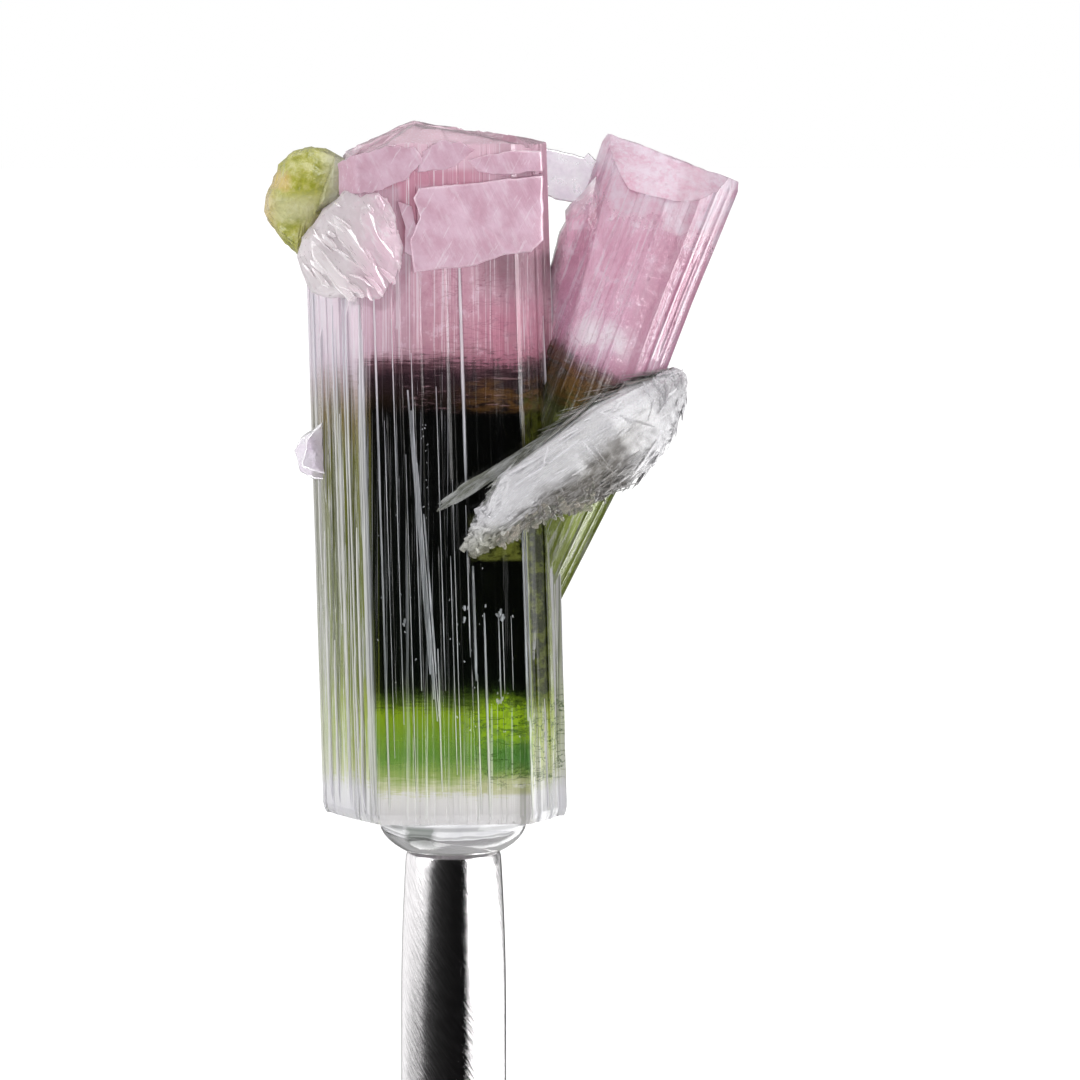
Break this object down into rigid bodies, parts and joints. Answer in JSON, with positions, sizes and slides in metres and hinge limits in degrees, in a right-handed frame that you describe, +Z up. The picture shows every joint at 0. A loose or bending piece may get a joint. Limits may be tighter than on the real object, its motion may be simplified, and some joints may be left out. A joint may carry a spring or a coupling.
{
  "type": "tourmaline crystal specimen",
  "caption": "Colour-zoned tourmaline prism, pink over dark over green, with a leaning pink prism, crusts and white blades, held by clear adhesive on a round metal rod.",
  "frame": {"origin": "middle of the rod's flat lower end", "axes": "+Z up the rod and the tall prism, +X towards the leaning prism, -Y towards the viewer of the picture"},
  "size_m": [0.0284, 0.0143, 0.0638],
  "materials": {
    "tourmaline": "vitreous and striated; colour runs from colourless at the foot through green, black and purple to pink",
    "clear_adhesive": "clear and glossy",
    "polished_steel": "polished, with fine drawing marks"
  },
  "bodies": {
    "root": {"tourmaline_cluster": "tourmaline", "adhesive": "clear_adhesive", "holder_rod": "polished_steel"}
  },
  "joints": []
}
